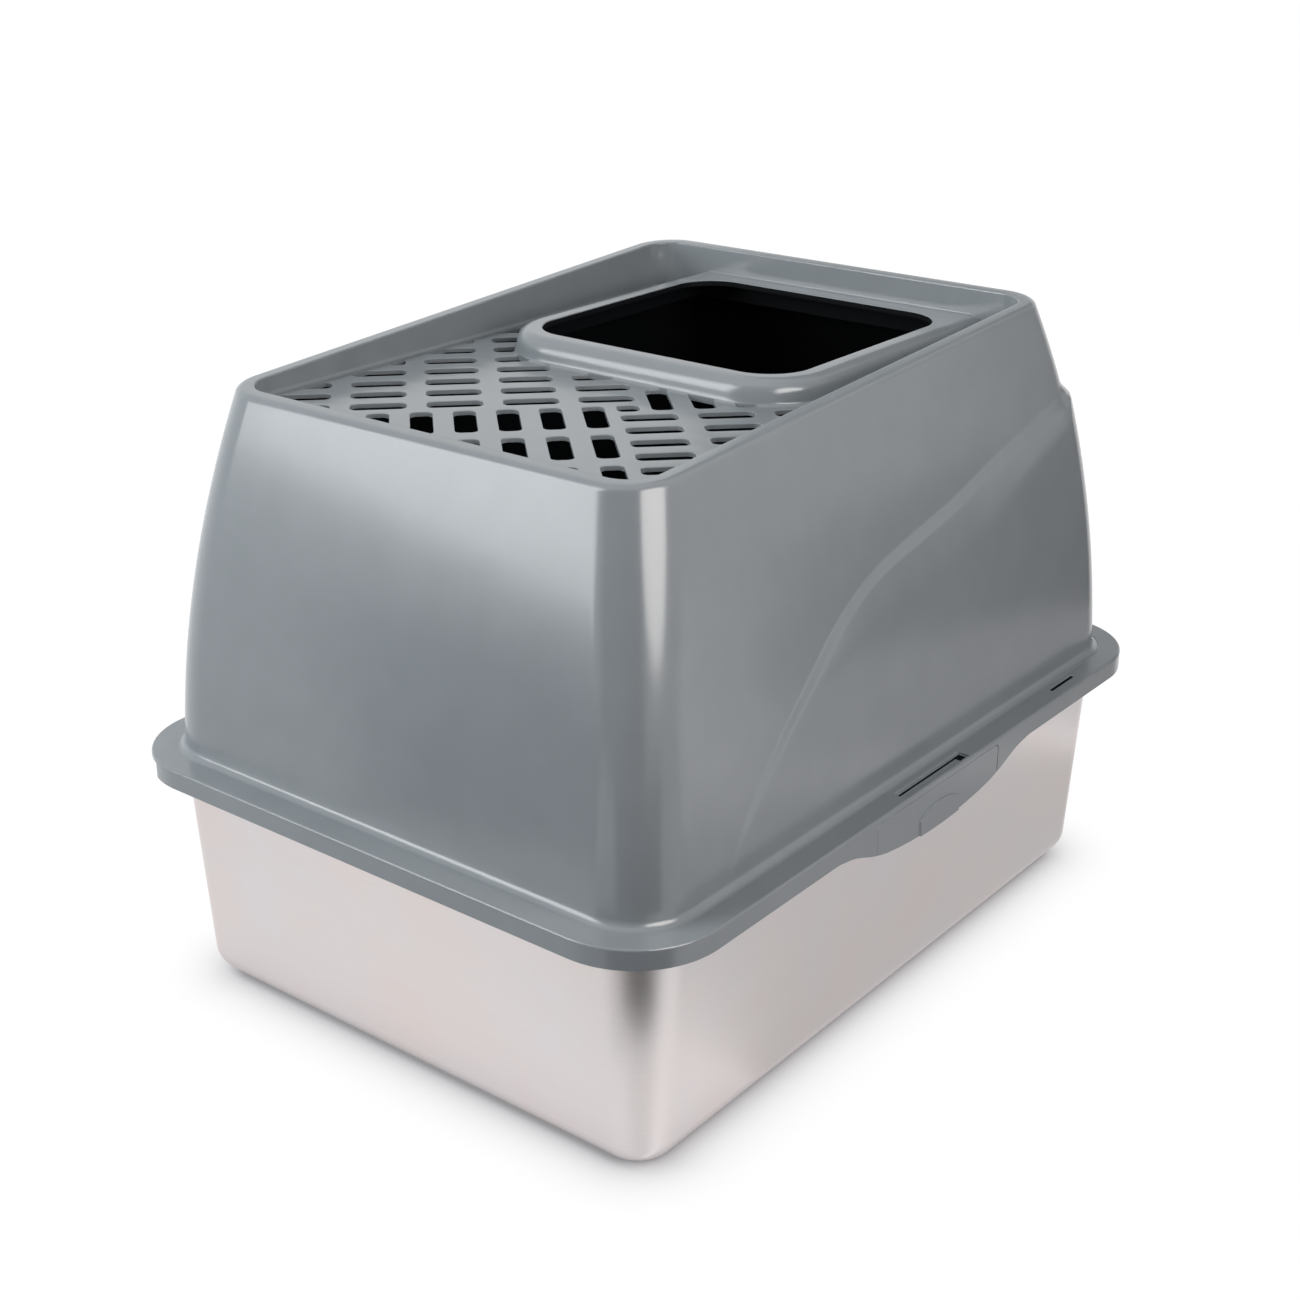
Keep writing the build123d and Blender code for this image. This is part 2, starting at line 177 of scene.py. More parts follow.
# The softboxes make only glints, and the fills only even light.
SOFTBOXES = [   # name, place, aim, size, watts, colour, roll in degrees, shape
    ("softbox_left", around(-120, 1.6, 0.87), (0, 0, 0.35), (0.76, 1.2), 17.8, "#fdfeff", -20, "RECTANGLE"),
    ("softbox_right", (0.88, -0.33, 0.635), (0.1, -0.1, 0.35), (0.72, 0.70), 10.4, "#fffaf6", 0, "ELLIPSE"),
]
FILLS = [       # name, place, watts, colour
    ("fill_front_low", around(-125, 1.66, 0.60), 15.8, "#fdfeff"),
    ("fill_front_high", around(-125, 0.98, 1.64), 15, "#fdfeff"),
    ("fill_right", around(-14, 0.85, 0.70), 7.0, "#fff8f6"),
    ("fill_back", around(110, 1.39, 1.22), 7, "#ffffff"),
    ("fill_rear_low", around(95, 1.6, 0.45), 10, "#ffffff"),
    ("fill_left_low", around(178, 1.6, 0.45), 12, "#ffffff"),
]
FILL_SIZE, FILL_AIM = (0.65, 0.65), (0, 0, 0.22)
for softbox in SOFTBOXES:
    add_lamp(*softbox).visible_diffuse = False
for name, place, power, colour in FILLS:
    add_lamp(name, place, FILL_AIM, FILL_SIZE, power, colour).visible_glossy = False

# Paper cards that only the gloss of the steel and the plastic sees: fans on the floor round the box, and
# upright screens behind the camera, on the right and high behind the box.


def add_card(name, corners, strength):
    """Flat stage card through four corners, hidden from all rays but glossy ones."""
    bpy.ops.mesh.primitive_plane_add(size=1)
    card = bpy.context.object
    card.name = name
    for vertex, corner in zip(card.data.vertices, corners):
        vertex.co = corner
    material, tree, output = new_material(name + "_paper")
    paper = node(tree, "ShaderNodeEmission", Color=(1, 1, 1, 1), Strength=strength)
    tree.links.new(paper.outputs[0], output.inputs["Surface"])
    card.data.materials.append(material)
    for ray_kind in ("camera", "diffuse", "shadow", "transmission", "volume_scatter"):
        setattr(card, "visible_" + ray_kind, False)


NEAR_CORNER = Vector((0.155, -0.215, 0))
FRONT_MIDDLE = Vector((0, -0.22, 0))
RIGHT_FRONT = Vector((0.17, -0.12, 0))
FLOOR_CARDS = [     # name, centre of the fan, azimuths, nearest and farthest reach, strength
    ("black_floor", NEAR_CORNER, (-82, -10), (0.13, 1.6), 0.0),
    ("grey_floor", NEAR_CORNER, (-112, -82), (0.10, 0.45), 0.80),
    ("pale_floor", NEAR_CORNER, (-75, -12), (0.0, 0.13), 0.84),
    ("white_floor", NEAR_CORNER, (-8, 16), (0.0, 0.42), 1.2),
    ("right_near", RIGHT_FRONT, (14, 90), (0.0, 0.50), 0.68),
    ("left_front", FRONT_MIDDLE, (-139, -135), (0.40, 3.0), 1.25),
    ("dark_front", FRONT_MIDDLE, (-135, -100), (0.40, 3.0), 0.2),
    ("right_middle", RIGHT_FRONT, (20, 50), (0.50, 3.0), 1.5),
    ("right_edge", RIGHT_FRONT, (50, 84), (0.50, 0.85), 0.68),
    ("right_far", RIGHT_FRONT, (50, 84), (0.85, 3.0), 0.12),
]
SCREENS = [         # name, azimuths, reach, bottom and top, strength
    ("black_room", (-100, -38), 1.9, (0.0, 2.4), 0.0),
    ("grey_right", (56, 84), 3.2, (0.0, 2.4), 0.4),
    ("dark_above_backdrop", (84, 127), 4.0, (1.6, 6.0), 0.1),
]
CARD_LIFT, CARD_STEP = 0.0003, 0.00005      # each card lies a hair above the one before it
for order, (name, centre, angles, reaches, strength) in enumerate(FLOOR_CARDS):
    lift = Vector((0, 0, CARD_LIFT + order * CARD_STEP))
    fan = [centre + lift + around(angle, reach, 0) for reach in reaches for angle in angles]
    add_card("card_" + name, fan, strength)
for name, angles, reach, heights, strength in SCREENS:
    screen = [around(angle, reach, height) for height in heights for angle in angles]
    add_card("card_" + name, screen, strength)

# ---------------------------------------------------------------- steel pan
# Deep pan pressed from one sheet of 0.8 mm stainless steel: flat rim with a turned-down lip,
# slightly tapered walls and a large radius round the floor. Brushed outside and inside.
MM = 0.001
PAN_RIM_HALF = (185.3 * MM, 245.95 * MM)
PAN_RIM_RADIUS = 43.5 * MM
PAN_LIP_BOTTOM = 134.2 * MM
PAN_RIM_TOP = 141.7 * MM
PAN_LIP_BEND = 1.6 * MM
PAN_MOUTH_HALF = (170.35 * MM, 229.85 * MM)
PAN_MOUTH_BEND = 3.0 * MM
PAN_SHEET = 0.8 * MM
PAN_FLOOR = 2.3 * MM
PAN_FLOOR_RADIUS = 13.2 * MM
PAN_DRAFT = 6.25 / 117.0
PAN_WALL_STEPS = 8
NEAR = 1e-6                # lengths in metres that differ by less are the same


def edit_mesh():
    """The mesh that is open in edit mode."""
    return bmesh.from_edit_mesh(bpy.context.object.data)


def select_only(kind, wanted):
    """In edit mode, select only the edges or faces that pass the test."""
    bpy.ops.mesh.select_mode(type=kind)
    bpy.ops.mesh.select_all(action="DESELECT")
    mesh = edit_mesh()
    parts = {"EDGE": mesh.edges, "FACE": mesh.faces, "VERT": mesh.verts}[kind]
    for part in parts:
        part.select_set(wanted(part))
    mesh.select_flush_mode()
    bmesh.update_edit_mesh(bpy.context.object.data)


def rounded_plate(name, half, radius, height, centre_y=0.0, steps=10, side_cuts=(), end_cuts=()):
    """New flat plate with rounded corners, left in edit mode with its one face selected.

    half is its half size; steps divide each corner, and the cuts divide its straight sides and ends.
    """
    bpy.ops.object.select_all(action="DESELECT")
    bpy.ops.mesh.primitive_plane_add(size=2, location=(0, centre_y, height))
    plate = bpy.context.object
    plate.name = plate.data.name = name
    plate.scale = (half[0], half[1], 1)
    bpy.ops.object.transform_apply(location=True, rotation=False, scale=True)
    bpy.ops.object.mode_set(mode="EDIT")
    bpy.ops.mesh.select_mode(type="VERT")
    bpy.ops.mesh.select_all(action="SELECT")
    bpy.ops.mesh.bevel(offset=radius, offset_type="OFFSET", segments=steps, affect="VERTICES")
    for across, middle, cuts in ((0, 0.0, side_cuts), (1, centre_y, end_cuts)):
        for count in cuts:
            select_only("EDGE", lambda edge: all(abs(abs(v.co[across] - middle) - half[across]) < NEAR
                                                 for v in edge.verts))
            bpy.ops.mesh.subdivide(number_cuts=count)
    bpy.ops.mesh.select_mode(type="FACE")
    bpy.ops.mesh.select_all(action="SELECT")
    return plate


def step_in(inward, up=0.0):
    """Draw the selected face in evenly, and move it along its normal."""
    bpy.ops.mesh.inset(thickness=inward, depth=up, use_even_offset=True, use_boundary=True)


def step_up(rise):
    """Extrude the selected face straight up, or down."""
    bpy.ops.mesh.extrude_region_move(TRANSFORM_OT_translate={"value": (0, 0, rise)})


def bend(radius, start, end, steps, turn_up):
    """Follow an arc with the selected face; angles are of the surface normal above the horizon."""
    at = math.radians(start)
    for i in range(1, steps + 1):
        to = math.radians(start + (end - start) * i / steps)
        inward = radius * abs(math.cos(at) - math.cos(to))
        rise = radius * abs(math.sin(to) - math.sin(at))
        step_in(inward, rise * turn_up)
        at = to


def close_edit(piece):
    """Leave edit mode with only this piece selected and active."""
    if bpy.context.object and bpy.context.object.mode == "EDIT":
        bpy.ops.object.mode_set(mode="OBJECT")
    bpy.ops.object.select_all(action="DESELECT")
    piece.select_set(True)
    bpy.context.view_layer.objects.active = piece
    return piece


def apply_modifier(piece, kind, **settings):
    """Add one modifier to the piece and apply it."""
    close_edit(piece)
    modifier = piece.modifiers.new(kind.lower(), kind)
    for key, value in settings.items():
        setattr(modifier, key, value)
    bpy.ops.object.modifier_apply(modifier=modifier.name)


def smooth(piece, angle=30):
    """Shade smooth below the angle, with flat faces kept flat in their normals."""
    close_edit(piece)
    bpy.ops.object.shade_smooth_by_angle(angle=math.radians(angle))
    apply_modifier(piece, "WEIGHTED_NORMAL", keep_sharp=True, weight=60)


pan = rounded_plate("pan_steel_shell", PAN_RIM_HALF, PAN_RIM_RADIUS, PAN_LIP_BOTTOM, steps=16,
                    side_cuts=(11,), end_cuts=(7,))
step_up(PAN_RIM_TOP - PAN_LIP_BEND - PAN_LIP_BOTTOM)
bend(PAN_LIP_BEND, 0, 90, 4, 1)
ledge = PAN_RIM_HALF[0] - PAN_LIP_BEND - PAN_MOUTH_HALF[0] - PAN_MOUTH_BEND
step_in(ledge)
length_now = PAN_RIM_HALF[1] - PAN_LIP_BEND - ledge
bpy.ops.transform.resize(value=(1, (PAN_MOUTH_HALF[1] + PAN_MOUTH_BEND) / length_now, 1))
bend(PAN_MOUTH_BEND, 90, 3, 5, -1)
wall_drop = (PAN_RIM_TOP - PAN_MOUTH_BEND - PAN_FLOOR - PAN_FLOOR_RADIUS) / PAN_WALL_STEPS
for i in range(PAN_WALL_STEPS):
    step_in(wall_drop * PAN_DRAFT, -wall_drop)
bend(PAN_FLOOR_RADIUS, 3, 90, 8, -1)
select_only("FACE", lambda face: abs(face.calc_center_median().z - PAN_LIP_BOTTOM) < NEAR)
bpy.ops.mesh.delete(type="FACE")
apply_modifier(pan, "SOLIDIFY", thickness=PAN_SHEET, offset=-1, use_even_offset=True,
               use_quality_normals=True)
smooth(pan)
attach(pan, "pan")
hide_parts("litter_pan")

# Stainless steel, brushed round the pan with a fine belt: long soft glints along the brushing and
# fine level lines, with slightly warm and cool clouds where the sheet was drawn.
BRUSH_LINE = 1.1 * MM      # real lines are about 0.1 mm apart; drawn coarser so that they show
BRUSH_LENGTH = 90 * MM     # how far one belt scratch runs
CLOUD = 70 * MM            # how wide the warm and cool patches are
material, tree, output = new_material("brushed_stainless_steel")
spot = node(tree, "ShaderNodeTexCoord")
along = node(tree, "ShaderNodeMapping", [(spot.outputs["Object"], "Vector")],
             Scale=(1 / BRUSH_LENGTH, 1 / BRUSH_LENGTH, 1 / BRUSH_LINE))
lines = node(tree, "ShaderNodeTexNoise", [(along.outputs[0], "Vector")], Scale=1.0, Detail=3.0,
             Roughness=0.65)
clouds = node(tree, "ShaderNodeTexNoise", [(spot.outputs["Object"], "Vector")], Scale=1 / CLOUD,
              Detail=3.0, Roughness=0.55)
tint = node(tree, "ShaderNodeValToRGB", [(clouds.outputs["Fac"], "Fac")])
tint.color_ramp.elements[0].position, tint.color_ramp.elements[1].position = 0.32, 0.68
tint.color_ramp.elements[0].color, tint.color_ramp.elements[1].color = srgb("#dcd7d8"), srgb("#ded5d3")
streak = node(tree, "ShaderNodeMapRange", [(lines.outputs["Fac"], "Value")], From_Min=0.25, From_Max=0.75,
              To_Min=0.972, To_Max=1.02)
shade = node(tree, "ShaderNodeVectorMath",
             [(tint.outputs["Color"], 0), (streak.outputs["Result"], "Scale")], operation="SCALE")
matt = node(tree, "ShaderNodeMapRange", [(lines.outputs["Fac"], "Value")], From_Min=0.25, From_Max=0.75,
            To_Min=0.33, To_Max=0.40)
grain = node(tree, "ShaderNodeBump", [(lines.outputs["Fac"], "Height")], Strength=0.35, Distance=0.02 * MM)
steel = node(tree, "ShaderNodeBsdfPrincipled",
             [(shade.outputs[0], "Base Color"), (matt.outputs[0], "Roughness"),
              (grain.outputs[0], "Normal")], Metallic=1.0, Anisotropic=0.8)
brush = node(tree, "ShaderNodeTangent", direction_type="RADIAL", axis="Z")
tree.links.new(brush.outputs[0], steel.inputs["Tangent"])
tree.links.new(steel.outputs[0], output.inputs["Surface"])
pan.data.materials.append(material)

# ---------------------------------------------------------------- pan feet
# Four soft black rubber pads, stuck under the corners of the pan. Their shape is plain, so the CAD
# piece is shown as it is.
feet = frame["nodes"]["pan_feet"]

# Natural rubber, moulded: nearly black and dull, with a faint grain.
RUBBER_GRAIN = 1.0 * MM    # the real grain is about 0.5 mm; drawn coarser so that it shows
material, tree, output = new_material("moulded_black_rubber")
spot = node(tree, "ShaderNodeTexCoord")
grains = node(tree, "ShaderNodeTexNoise", [(spot.outputs["Object"], "Vector")], Scale=1 / RUBBER_GRAIN,
              Detail=2.0)
dull = node(tree, "ShaderNodeMapRange", [(grains.outputs["Fac"], "Value")], To_Min=0.66, To_Max=0.84)
skin = node(tree, "ShaderNodeBump", [(grains.outputs["Fac"], "Height")], Strength=0.5, Distance=0.05 * MM)
rubber = node(tree, "ShaderNodeBsdfPrincipled",
              [(dull.outputs[0], "Roughness"), (skin.outputs[0], "Normal")], Base_Color=srgb("#1c1c1e"))
tree.links.new(rubber.outputs[0], output.inputs["Surface"])
feet.data.materials.clear()
feet.data.materials.append(material)

# ---------------------------------------------------------------- hood
# Lift-off hood, injection moulded in one piece of grey polypropylene 2.4 mm thick: walls that curve
# in towards the rim, a brim with a turned-down skirt, and a sunk deck with drain slots and the
# raised ring of the entry. The rear of the walls stands proud below an S-shaped shoulder.
BRIM_HALF = (189.35 * MM, 250.0 * MM)
BRIM_RADIUS = 49.7 * MM
BRIM_TOP = 144.4 * MM
BRIM_EDGE = 1.2 * MM
SKIRT_BOTTOM = 133.3 * MM
SKIRT_WALL = 2.6 * MM
WALL = 2.4 * MM
FOOT_Z = 150.0 * MM
FOOT_FILLET = 4.5 * MM
FOOT_RADIUS = 38.5 * MM
FOOT_LEAN = 2.4            # degrees that the wall leans in at its foot, and at its rim
RIM_LEAN = 14.2
RIM_RISE = 205.8 * MM      # of the rim over the foot at y = 0; the rim climbs towards the rear
RIM_SLOPE = 0.056
RIM_ROUND = 4.5 * MM
RIM_FLAT = 5.24 * MM
RIM_INNER_ROUND = 1.0 * MM
DECK_TOP = 336.0 * MM
DECK_FILLET = 2.5 * MM
RECESS_HALF_WIDTH = 131.75 * MM
RECESS_FRONT, RECESS_REAR = -187.6 * MM, 168.4 * MM
BURIED = 1.2 * MM          # how far a form reaches into the one that it is joined to
FOOT_WALL = (171.7 * MM, -231.7 * MM, 233.0 * MM)      # half width, front y and rear y at the foot
DRAWN_IN = (30.2 * MM, 34.4 * MM, 54.9 * MM)           # how far each draws in up to the rim
STRAIGHT_SHARE, CURVED_SHARE = 0.28, 0.72
# Levels run from 0 at the foot to 1 at the rim: where the foot's plate, its fillet, the straight start
# of the wall and the wall itself end.
PLATE_LEVEL, FILLET_LEVEL, FIRST_LEVEL, LAST_LEVEL, LAST_INNER_LEVEL = -0.0272, -0.006, 0.02, 0.9835, 0.988
WALL_STEPS, INNER_WALL_STEPS = 100, 16


def wall_limits(level, offset=0.0):
    """Half width, front y and rear y of the hood wall at a level, moved in by offset."""
    share = STRAIGHT_SHARE * level + CURVED_SHARE * level * level
    return (FOOT_WALL[0] - DRAWN_IN[0] * share - offset, FOOT_WALL[1] + DRAWN_IN[1] * share + offset,
            FOOT_WALL[2] - DRAWN_IN[2] * share - offset)


def wall_centre(level, offset=0.0):
    """Middle point of the level's tilted ring."""
    front, rear = wall_limits(level, offset)[1:]
    middle = (front + rear) / 2
    return Vector((0, middle, FOOT_Z + level * (RIM_RISE + RIM_SLOPE * middle)))


def raise_wall(first, last, count, offset=0.0):
    """Carry the selected ring up the curved wall, tilting it evenly towards the rim."""
    for i in range(count):
        low, high = (first + (last - first) * k / count for k in (i, i + 1))
        width0, front0, rear0 = wall_limits(low, offset)
        width1, front1, rear1 = wall_limits(high, offset)
        stretch = (rear1 - front1) / (rear0 - front0)
        bpy.ops.mesh.extrude_region_move()
        bpy.ops.transform.resize(value=(width1 / width0, stretch, high / low * stretch),
                                 center_override=wall_centre(low, offset))
        bpy.ops.transform.translate(value=wall_centre(high, offset) - wall_centre(low, offset))


def combine(piece, other, operation, finish=None):
    """Boolean of the piece with another closed mesh, which is used up; cut faces take the finish."""
    if piece.data.materials:
        finish = finish or piece.data.materials[0]
    other.data.materials.clear()
    other.data.materials.append(finish)
    apply_modifier(piece, "BOOLEAN", object=other, operation=operation, solver="MANIFOLD",
                   material_mode="TRANSFER")
    bpy.data.objects.remove(other)


# Grey polypropylene from a polished mould: satin, with a slow ripple in its reflections where the wall
# shrank, and faint clouds of duller skin.
RIPPLE = 26 * MM
SKIN = 3.5 * MM            # the real grain is about 0.3 mm; drawn coarser so that it shows
INSIDE_GRAIN = 2.0 * MM    # about 0.5 mm on a real part
plastic, tree, output = new_material("moulded_grey_polypropylene")
spot = node(tree, "ShaderNodeTexCoord")
ripple = node(tree, "ShaderNodeTexNoise", [(spot.outputs["Object"], "Vector")], Scale=1 / RIPPLE,
              Detail=2.0, Roughness=0.5)
grain = node(tree, "ShaderNodeTexNoise", [(spot.outputs["Object"], "Vector")], Scale=1 / SKIN,
             Detail=3.0, Roughness=0.6)
tint = node(tree, "ShaderNodeValToRGB", [(ripple.outputs["Fac"], "Fac")])
tint.color_ramp.elements[0].position, tint.color_ramp.elements[1].position = 0.3, 0.7
tint.color_ramp.elements[0].color, tint.color_ramp.elements[1].color = srgb("#7b8286"), srgb("#7e8589")
satin = node(tree, "ShaderNodeMapRange", [(grain.outputs["Fac"], "Value")], From_Min=0.3, From_Max=0.7,
             To_Min=0.165, To_Max=0.205)
swell = node(tree, "ShaderNodeBump", [(ripple.outputs["Fac"], "Height")], Strength=0.6, Distance=0.10 * MM)
bumps = node(tree, "ShaderNodeBump", [(grain.outputs["Fac"], "Height"), (swell.outputs[0], "Normal")],
             Strength=0.5, Distance=0.006 * MM)
shader = node(tree, "ShaderNodeBsdfPrincipled",
              [(tint.outputs[0], "Base Color"), (satin.outputs[0], "Roughness"),
               (bumps.outputs[0], "Normal")])
tree.links.new(shader.outputs[0], output.inputs["Surface"])

# Painted shade: the inner faces of the hood and the cut walls of the entry and of the slits lie in shade
# inside it, so they are given a near-black colour and no gloss; a fine grain varies their dullness.
inside, tree, output = new_material("inside_painted_shade_polypropylene")
spot = node(tree, "ShaderNodeTexCoord")
grain = node(tree, "ShaderNodeTexNoise", [(spot.outputs["Object"], "Vector")], Scale=1 / INSIDE_GRAIN,
             Detail=2.0)
matt = node(tree, "ShaderNodeMapRange", [(grain.outputs["Fac"], "Value")], To_Min=0.6, To_Max=0.8)
shader = node(tree, "ShaderNodeBsdfPrincipled", [(matt.outputs[0], "Roughness")],
              Base_Color=srgb("#05080b"), Specular_IOR_Level=0.1)
tree.links.new(shader.outputs[0], output.inputs["Surface"])


def step_on_wall(width, length, here, offset=0.0):
    """Carry the selected flat ring, scaled on the spot, to the first tilted level of the wall."""
    bpy.ops.mesh.extrude_region_move()
    bpy.ops.transform.resize(value=(width, length, 1), center_override=here)
    bpy.ops.transform.translate(value=wall_centre(FIRST_LEVEL, offset) - here)
    bpy.ops.transform.rotate(value=-math.atan(RIM_SLOPE * FIRST_LEVEL), orient_axis="X",
                             center_override=wall_centre(FIRST_LEVEL, offset))


def flatten_to(height):
    """Carry the selected tilted ring upright on to a level plane."""
    bpy.ops.mesh.extrude_region_move()
    bpy.ops.transform.resize(value=(1, 1, 0), center_override=(0, 0, height))


half, front, rear = wall_limits(PLATE_LEVEL)
hood = rounded_plate("hood_moulding", (half + FOOT_FILLET, (rear - front) / 2 + FOOT_FILLET), FOOT_RADIUS,
                     BRIM_TOP - BURIED, (front + rear) / 2, steps=20, side_cuts=(79, 1), end_cuts=(11,))
hood.data.materials.append(plastic)
step_up(BURIED)
bend(FOOT_FILLET, 90, FOOT_LEAN, 6, 1)
half0, front0, rear0 = wall_limits(FILLET_LEVEL)
half1, front1, rear1 = wall_limits(FIRST_LEVEL)
fillet_top = BRIM_TOP + FOOT_FILLET * (1 - math.sin(math.radians(FOOT_LEAN)))
here = Vector((0, (front0 + rear0) / 2, fillet_top))
step_on_wall(half1 / half0, (rear1 - front1) / (rear0 - front0), here)
raise_wall(FIRST_LEVEL, LAST_LEVEL, WALL_STEPS)
bend(RIM_ROUND, RIM_LEAN, 90, 6, 1)
step_in(RIM_FLAT)
bend(RIM_INNER_ROUND, 90, 0, 3, -1)
flatten_to(DECK_TOP + DECK_FILLET)
bend(DECK_FILLET, 0, 90, 4, -1)
close_edit(hood)

# The proud rear part: on each side its edge runs in a long S from the front foot to the rear shoulder.
# The edge is given in mm as y and z; the panel's height over the wall in mm by level.
PANEL_EDGE = [(-172.0, 146.0), (-155.0, 171.0), (-123.0, 204.0), (-95.0, 226.5), (-70.0, 245.0),
              (-45.0, 258.2), (-22.0, 265.8), (5.0, 271.3), (51.0, 279.8), (100.0, 292.0),
              (137.0, 299.8), (163.0, 305.8), (188.0, 309.5), (230.0, 313.5)]
PANEL_BY_LEVEL = [(-0.1, -1.0), (0.0, 0.1), (0.1, 0.5), (0.2, 0.9), (0.45, 2.1), (0.7225, 4.0), (0.8, 4.6)]
LOWEST_LEVEL, HIGHEST_LEVEL = -0.09, 0.79
SHOULDER_START, SHOULDER_RUN = 0.7575, 0.0525 / 6      # level of the shoulder, and levels per mm of it
PANEL_OUT = 4.0            # mm that the panel stands proud at most
PANEL_BOTTOM, PANEL_FRONT, PANEL_SIDE, PANEL_BACK = 0.1495, -0.172, 0.08, 0.15   # where it may be at all
PANEL_START, PANEL_END = -171.9, 229                   # y in mm, just inside the ends of the edge
EDGE_STEP, EDGE_STEP_GAIN = 1.2, 2.1                   # mm of crisp step in front, and more at the rear
EDGE_RUN, EDGE_RUN_LOSS = 2.4, 0.7                     # mm of run per mm of step, and less at the rear
EDGE_GENTLE = 0.045                                    # mm of rise per mm beyond the step
REARWARD_START, REARWARD_RUN = 80, 100                 # y in mm over which front turns to rear
BEHIND_START, BEHIND_RUN, BEHIND = 178, 13, 40         # y in mm behind which the side's edge ends


def through(points, x):
    """Smooth curve through the points (Catmull-Rom), read at x."""
    last = len(points) - 2
    i = max(k for k in range(last + 1) if k == 0 or points[k][0] <= x)
    (x1, y1), (x2, y2) = points[i], points[i + 1]
    x0, y0 = points[max(i - 1, 0)]
    x3, y3 = points[min(i + 2, last + 1)]
    m1, m2 = (y2 - y0) / (x2 - x0), (y3 - y1) / (x3 - x1)
    span = x2 - x1
    u = (x - x1) / span
    return (y1 * (2 * u**3 - 3 * u**2 + 1) + m1 * span * (u**3 - 2 * u**2 + u)
            + y2 * (3 * u**2 - 2 * u**3) + m2 * span * (u**3 - u**2))


def soft_min(a, b, blend=0.5):
    """The smaller of two values, with the corner between them rounded."""
    h = max(blend - abs(a - b), 0) / blend
    return min(a, b) - h * h * blend / 4


def part_way(value, start, run):
    """0 up to the start, 1 beyond the run, evenly in between."""
    return min(max((value - start) / run, 0), 1)


def panel_out(place):
    """How far, in mm, the wall stands proud at a place on it."""
    level = (place.z - FOOT_Z) / (RIM_RISE + RIM_SLOPE * place.y)
    by_level = through(PANEL_BY_LEVEL, min(max(level, LOWEST_LEVEL), HIGHEST_LEVEL))
    by_shoulder = (SHOULDER_START - level) / SHOULDER_RUN
    y = place.y / MM
    edge = through(PANEL_EDGE, min(max(y, PANEL_START), PANEL_END))
    below = edge - place.z / MM if y > PANEL_START else -1.0
    rearward = part_way(y, REARWARD_START, REARWARD_RUN)
    step, run = EDGE_STEP + EDGE_STEP_GAIN * rearward, EDGE_RUN - EDGE_RUN_LOSS * rearward
    by_edge = soft_min(below / run, step + (below - step * run) * EDGE_GENTLE)
    behind = part_way(y, BEHIND_START, BEHIND_RUN)
    by_edge = by_edge * (1 - behind) + BEHIND * behind
    out = soft_min(soft_min(by_level, by_shoulder), by_edge)
    return -soft_min(-out, 0.0)


proud = hood.vertex_groups.new(name="proud_rear")
for vertex in hood.data.vertices:
    x, y, z = vertex.co
    on_side = z > PANEL_BOTTOM and y > PANEL_FRONT and abs(x) > PANEL_SIDE
    if on_side or y > PANEL_BACK:
        share = panel_out(vertex.co) / PANEL_OUT
        if share > 0:
            proud.add([vertex.index], min(share, 1), "REPLACE")
apply_modifier(hood, "DISPLACE", direction="NORMAL", mid_level=0, strength=PANEL_OUT * MM,
               vertex_group=proud.name)

# Brim with its skirt, which hangs lower in a shallow bow in the middle of each long side. The bow is
# given in mm as the distance from the middle and the height.
APRON = [(0.0, 116.3), (25.0, 117.27), (49.0, 120.04), (64.7, 123.95), (83.3, 130.6), (98.0, 133.3)]
SKIRT_EDGE = 3.5 * MM      # width of the skirt's lower edge before it is hollowed
SKIRT_INSIDE_X = 185.5 * MM
brim = rounded_plate("brim", BRIM_HALF, BRIM_RADIUS, SKIRT_BOTTOM, steps=20, side_cuts=(99,),
                     end_cuts=(11,))
step_up(BRIM_TOP - BRIM_EDGE - SKIRT_BOTTOM)
bend(BRIM_EDGE, 0, 90, 4, 1)
select_only("FACE", lambda face: abs(face.calc_center_median().z - SKIRT_BOTTOM) < NEAR)
step_in(SKIRT_EDGE)
close_edit(brim)
for vertex in brim.data.vertices:
    x, y, z = vertex.co
    if z < SKIRT_BOTTOM + NEAR and abs(x) > SKIRT_INSIDE_X and abs(y) < APRON[-1][0] * MM:
        vertex.co.z = through(APRON, abs(y) / MM) * MM
combine(hood, brim, "UNION")

BELOW_SKIRT, BELOW_BRIM = 0.110, 0.140
HOLLOW_RADIUS = 34 * MM - WALL
brim_hollow_half = [half - SKIRT_WALL for half in BRIM_HALF]
hollow = rounded_plate("hollow", brim_hollow_half, BRIM_RADIUS - SKIRT_WALL, BELOW_SKIRT, steps=12,
                       side_cuts=(11,), end_cuts=(7,))
step_up(BRIM_TOP - WALL - BELOW_SKIRT)
close_edit(hollow)
# The hollow's faces take the painted shade of the inside.
combine(hood, hollow, "DIFFERENCE", inside)
half, front, rear = wall_limits(0.0, WALL)
hollow = rounded_plate("hollow", (half, (rear - front) / 2), HOLLOW_RADIUS, BELOW_BRIM,
                       (front + rear) / 2, steps=12, side_cuts=(11,), end_cuts=(7,))
step_up(FOOT_Z - BELOW_BRIM)
half1, front1, rear1 = wall_limits(FIRST_LEVEL, WALL)
here = Vector((0, (front + rear) / 2, FOOT_Z))
step_on_wall(half1 / half, (rear1 - front1) / (rear - front), here, WALL)
raise_wall(FIRST_LEVEL, LAST_INNER_LEVEL, INNER_WALL_STEPS, WALL)
step_in(wall_limits(LAST_INNER_LEVEL, WALL)[0] - RECESS_HALF_WIDTH - WALL)
flatten_to(DECK_TOP - WALL)
close_edit(hollow)
# The hollow's faces take the painted shade of the inside.
combine(hood, hollow, "DIFFERENCE", inside)

